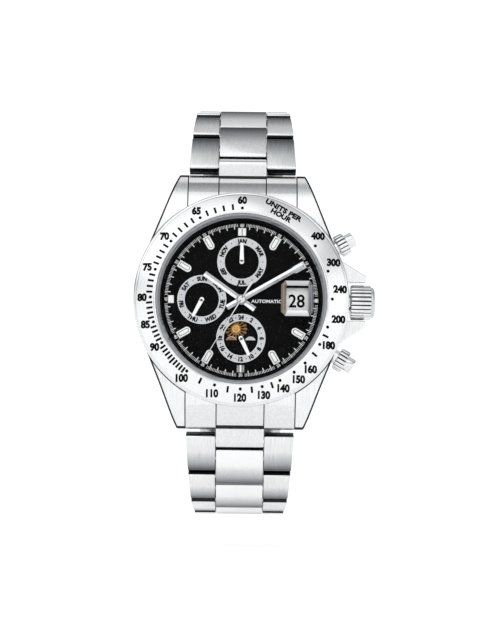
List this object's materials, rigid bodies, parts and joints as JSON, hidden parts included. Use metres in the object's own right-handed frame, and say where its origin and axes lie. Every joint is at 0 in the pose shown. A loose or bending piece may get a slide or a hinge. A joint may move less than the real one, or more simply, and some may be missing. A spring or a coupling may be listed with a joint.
{
  "type": "wristwatch",
  "caption": "Steel calendar wristwatch: black dial with three sub-dials and date lens, tachymeter bezel, screw-down crown and pushers, link bracelet with folding clasp.",
  "frame": {"origin": "centre of the case back's outer face", "axes": "-Y out of the dial, +Z towards 12 o'clock, +X towards the crown at 3 o'clock; the wrist is on +Y"},
  "size_m": [0.044, 0.0459, 0.0774],
  "materials": {
    "case_steel": "satin brushed tops, polished flanks",
    "bezel_steel": "polished with black filled scale",
    "crown_steel": "polished, fluted",
    "bracelet_steel": "brushed sides, polished centre links",
    "crystal_glass": "polished sapphire",
    "gasket_rubber": "matt",
    "flange_metal": "satin black",
    "dial_black": "matt black with printed scales",
    "marker_metal": "polished with white filling",
    "hand_metal": "polished facets",
    "date_white": "white with black figures",
    "sun_moon_print": "night blue-black with gold sun",
    "movement_nickel": "nickel plated, grained",
    "wheel_brass": "gilt"
  },
  "bodies": {
    "head": {"case_middle": "case_steel", "crown_guards": "case_steel", "bezel": "bezel_steel", "crystal": "crystal_glass", "crystal_gasket": "gasket_rubber", "inner_flange": "flange_metal", "date_lens": "crystal_glass", "dial": "dial_black", "hour_markers": "marker_metal", "case_back": "case_steel", "case_back_gasket": "gasket_rubber", "crown_tube": "case_steel", "pusher_tubes": "case_steel", "main_plate": "movement_nickel", "train_bridge": "movement_nickel", "movement_ring": "movement_nickel", "end_link_12": "case_steel", "end_link_6": "case_steel", "spring_bars": "case_steel"},
    "minute_hand": {"minute_hand": "hand_metal"},
    "hour_hand": {"hour_hand": "hand_metal"},
    "hour24_hand": {"hour24_hand": "hand_metal", "sun_moon_disc": "sun_moon_print"},
    "seconds_hand": {"seconds_hand": "hand_metal", "fourth_wheel": "wheel_brass"},
    "month_hand": {"month_hand": "hand_metal"},
    "day_hand": {"day_hand": "hand_metal"},
    "date_ring": {"date_ring": "date_white"},
    "third_wheel": {"third_wheel": "wheel_brass"},
    "escape_wheel": {"escape_wheel": "wheel_brass"},
    "mainspring_barrel": {"mainspring_barrel": "wheel_brass"},
    "centre_wheel": {"centre_wheel": "wheel_brass"},
    "balance_wheel": {"balance_wheel": "wheel_brass"},
    "pallet_fork": {"pallet_fork": "movement_nickel"},
    "rotor": {"rotor": "movement_nickel"},
    "setting_lever": {"setting_lever": "movement_nickel"},
    "crown": {"crown": "crown_steel", "winding_stem": "crown_steel"},
    "pusher_collar_2": {"pusher_collar_2": "crown_steel"},
    "pusher_button_2": {"pusher_button_2": "crown_steel"},
    "pusher_collar_4": {"pusher_collar_4": "crown_steel"},
    "pusher_button_4": {"pusher_button_4": "crown_steel"},
    "link_12_1": {"link_12_1": "bracelet_steel"},
    "link_12_2": {"link_12_2": "bracelet_steel"},
    "link_12_3": {"link_12_3": "bracelet_steel"},
    "link_12_4": {"link_12_4": "bracelet_steel"},
    "link_12_5": {"link_12_5": "bracelet_steel"},
    "link_12_6": {"link_12_6": "bracelet_steel"},
    "link_12_7": {"link_12_7": "bracelet_steel"},
    "link_6_1": {"link_6_1": "bracelet_steel"},
    "link_6_2": {"link_6_2": "bracelet_steel"},
    "link_6_3": {"link_6_3": "bracelet_steel"},
    "link_6_4": {"link_6_4": "bracelet_steel"},
    "link_6_5": {"link_6_5": "bracelet_steel"},
    "link_6_6": {"link_6_6": "bracelet_steel"},
    "link_6_7": {"link_6_7": "bracelet_steel"},
    "clasp_cover": {"clasp_cover": "bracelet_steel"},
    "clasp_long_blade": {"clasp_long_blade": "bracelet_steel"},
    "clasp_short_blade": {"clasp_short_blade": "bracelet_steel"}
  },
  "joints": [
    {"name": "minute_hand_spin", "type": "hinge", "parent": "head", "child": "minute_hand", "pos_m": [0, -0.008, 0], "axis": [0, 1, 0], "continuous": true},
    {"name": "hour_hand_spin", "type": "hinge", "parent": "head", "child": "hour_hand", "pos_m": [0, -0.008, 0], "axis": [0, 1, 0], "continuous": true},
    {"name": "hour24_hand_spin", "type": "hinge", "parent": "head", "child": "hour24_hand", "pos_m": [0, -0.0075, -0.007], "axis": [0, 1, 0], "continuous": true},
    {"name": "seconds_hand_spin", "type": "hinge", "parent": "head", "child": "seconds_hand", "pos_m": [0, -0.008, 0], "axis": [0, 1, 0], "continuous": true},
    {"name": "month_hand_spin", "type": "hinge", "parent": "head", "child": "month_hand", "pos_m": [0, -0.0075, 0.007], "axis": [0, 1, 0], "continuous": true},
    {"name": "day_hand_spin", "type": "hinge", "parent": "head", "child": "day_hand", "pos_m": [-0.0072, -0.0075, 0], "axis": [0, 1, 0], "continuous": true},
    {"name": "date_ring_spin", "type": "hinge", "parent": "head", "child": "date_ring", "pos_m": [0, -0.0065, 0], "axis": [0, 1, 0], "continuous": true},
    {"name": "third_wheel_spin", "type": "hinge", "parent": "head", "child": "third_wheel", "pos_m": [-0.0026, -0.005, -0.0045], "axis": [0, 1, 0], "continuous": true},
    {"name": "escape_wheel_spin", "type": "hinge", "parent": "head", "child": "escape_wheel", "pos_m": [0.00166, -0.005, 0.00455], "axis": [0, 1, 0], "continuous": true},
    {"name": "mainspring_barrel_spin", "type": "hinge", "parent": "head", "child": "mainspring_barrel", "pos_m": [0.0049, -0.005, 0], "axis": [0, 1, 0], "continuous": true},
    {"name": "centre_wheel_spin", "type": "hinge", "parent": "head", "child": "centre_wheel", "pos_m": [0, -0.005, 0], "axis": [0, 1, 0], "continuous": true},
    {"name": "balance_swing", "type": "hinge", "parent": "head", "child": "balance_wheel", "pos_m": [-0.0043, -0.004, 0.00745], "axis": [0, 1, 0], "range_deg": [-135, 135], "stiffness_Nm_per_rad": 0.0005},
    {"name": "pallet_rock", "type": "hinge", "parent": "head", "child": "pallet_fork", "pos_m": [-0.00115, -0.0034, 0.0059], "axis": [0, 1, 0], "range_deg": [-5, 5]},
    {"name": "rotor_spin", "type": "hinge", "parent": "head", "child": "rotor", "pos_m": [0, -0.002, 0], "axis": [0, 1, 0], "continuous": true},
    {"name": "crown_pull", "type": "slide", "parent": "head", "child": "setting_lever", "axis": [1, 0, 0], "range_m": [0, 0.0015]},
    {"name": "crown_turn", "type": "hinge", "parent": "setting_lever", "child": "crown", "pos_m": [0.022, -0.0047, 0], "axis": [1, 0, 0], "continuous": true},
    {"name": "pusher_collar_2_unscrew", "type": "hinge", "parent": "head", "child": "pusher_collar_2", "pos_m": [0.01819, -0.0047, 0.0105], "axis": [0.866, 0, 0.5], "range_deg": [0, 540]},
    {"name": "pusher_2_press", "type": "slide", "parent": "head", "child": "pusher_button_2", "axis": [-0.866, 0, -0.5], "range_m": [0, 0.0009], "stiffness_N_per_m": 800, "springref_m": -0.0008},
    {"name": "pusher_collar_4_unscrew", "type": "hinge", "parent": "head", "child": "pusher_collar_4", "pos_m": [0.01819, -0.0047, -0.0105], "axis": [0.866, 0, -0.5], "range_deg": [0, 540]},
    {"name": "pusher_4_press", "type": "slide", "parent": "head", "child": "pusher_button_4", "axis": [-0.866, 0, 0.5], "range_m": [0, 0.0009], "stiffness_N_per_m": 800, "springref_m": -0.0008},
    {"name": "link_12_1_fold", "type": "hinge", "parent": "head", "child": "link_12_1", "pos_m": [0, -0.003, 0.0254], "axis": [1, 0, 0], "range_deg": [0, 26]},
    {"name": "link_12_2_fold", "type": "hinge", "parent": "link_12_1", "child": "link_12_2", "pos_m": [0, 0.00065, 0.03172], "axis": [1, 0, 0], "range_deg": [0, 26]},
    {"name": "link_12_3_fold", "type": "hinge", "parent": "link_12_2", "child": "link_12_3", "pos_m": [0, 0.00659, 0.03596], "axis": [1, 0, 0], "range_deg": [0, 26]},
    {"name": "link_12_4_fold", "type": "hinge", "parent": "link_12_3", "child": "link_12_4", "pos_m": [0, 0.01376, 0.03735], "axis": [1, 0, 0], "range_deg": [0, 26]},
    {"name": "link_12_5_fold", "type": "hinge", "parent": "link_12_4", "child": "link_12_5", "pos_m": [0, 0.02086, 0.03565], "axis": [1, 0, 0], "range_deg": [0, 26]},
    {"name": "link_12_6_fold", "type": "hinge", "parent": "link_12_5", "child": "link_12_6", "pos_m": [0, 0.02661, 0.03116], "axis": [1, 0, 0], "range_deg": [0, 26]},
    {"name": "link_12_7_fold", "type": "hinge", "parent": "link_12_6", "child": "link_12_7", "pos_m": [0, 0.02998, 0.02468], "axis": [1, 0, 0], "range_deg": [0, 26]},
    {"name": "link_6_1_fold", "type": "hinge", "parent": "head", "child": "link_6_1", "pos_m": [0, -0.003, -0.0254], "axis": [-1, 0, 0], "range_deg": [0, 26]},
    {"name": "link_6_2_fold", "type": "hinge", "parent": "link_6_1", "child": "link_6_2", "pos_m": [0, 0.00065, -0.03172], "axis": [-1, 0, 0], "range_deg": [0, 26]},
    {"name": "link_6_3_fold", "type": "hinge", "parent": "link_6_2", "child": "link_6_3", "pos_m": [0, 0.00659, -0.03596], "axis": [-1, 0, 0], "range_deg": [0, 26]},
    {"name": "link_6_4_fold", "type": "hinge", "parent": "link_6_3", "child": "link_6_4", "pos_m": [0, 0.01376, -0.03735], "axis": [-1, 0, 0], "range_deg": [0, 26]},
    {"name": "link_6_5_fold", "type": "hinge", "parent": "link_6_4", "child": "link_6_5", "pos_m": [0, 0.02086, -0.03565], "axis": [-1, 0, 0], "range_deg": [0, 26]},
    {"name": "link_6_6_fold", "type": "hinge", "parent": "link_6_5", "child": "link_6_6", "pos_m": [0, 0.02661, -0.03116], "axis": [-1, 0, 0], "range_deg": [0, 26]},
    {"name": "link_6_7_fold", "type": "hinge", "parent": "link_6_6", "child": "link_6_7", "pos_m": [0, 0.02998, -0.02468], "axis": [-1, 0, 0], "range_deg": [0, 26]},
    {"name": "clasp_cover_open", "type": "hinge", "parent": "link_12_7", "child": "clasp_cover", "pos_m": [0, 0.03036, 0.01739], "axis": [1, 0, 0], "range_deg": [0, 64]},
    {"name": "clasp_long_blade_open", "type": "hinge", "parent": "clasp_cover", "child": "clasp_long_blade", "pos_m": [0, 0.03091, -0.01251], "axis": [1, 0, 0], "range_deg": [0, 70]},
    {"name": "clasp_short_blade_open", "type": "hinge", "parent": "clasp_long_blade", "child": "clasp_short_blade", "pos_m": [0, 0.03019, 0.00549], "axis": [-1, 0, 0], "range_deg": [0, 55]}
  ],
  "couplings": [
    {"joint": "hour_hand_spin", "follows": "minute_hand_spin", "ratio": 0.083333},
    {"joint": "hour24_hand_spin", "follows": "minute_hand_spin", "ratio": 0.041667},
    {"joint": "third_wheel_spin", "follows": "seconds_hand_spin", "ratio": -0.13333},
    {"joint": "centre_wheel_spin", "follows": "seconds_hand_spin", "ratio": 0.016667},
    {"joint": "mainspring_barrel_spin", "follows": "seconds_hand_spin", "ratio": -0.0027778},
    {"joint": "escape_wheel_spin", "follows": "seconds_hand_spin", "ratio": -10}
  ]
}
